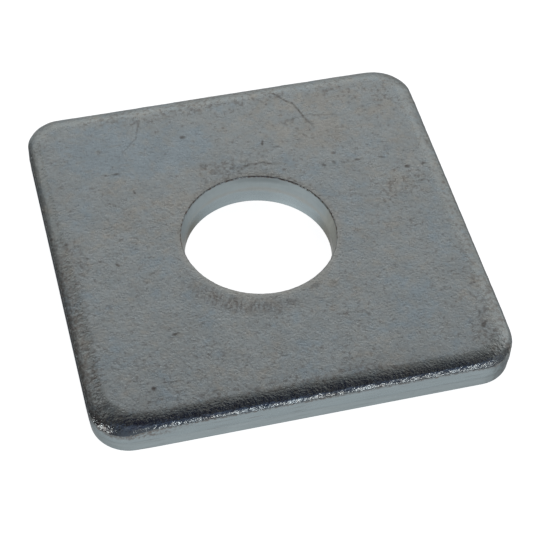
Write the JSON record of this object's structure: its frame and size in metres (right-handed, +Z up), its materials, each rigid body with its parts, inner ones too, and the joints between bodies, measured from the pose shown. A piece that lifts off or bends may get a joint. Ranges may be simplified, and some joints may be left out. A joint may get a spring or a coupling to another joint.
{
  "type": "square plate washer",
  "caption": "Thick square washer of zinc-plated steel plate with rounded corners, a rolled upper edge and a punched round bolt hole; spreads a bolt's load over timber or thin plate.",
  "frame": {"origin": "middle of the lower face", "axes": "+Z up through the plate's thickness and along the hole, with X and Y along the sides"},
  "size_m": [0.06, 0.06, 0.0052],
  "materials": {
    "zinc_plate": "satin zinc plate with a faint blue tint, cloudy and lightly scuffed"
  },
  "bodies": {
    "root": {"washer": "zinc_plate"}
  },
  "joints": []
}
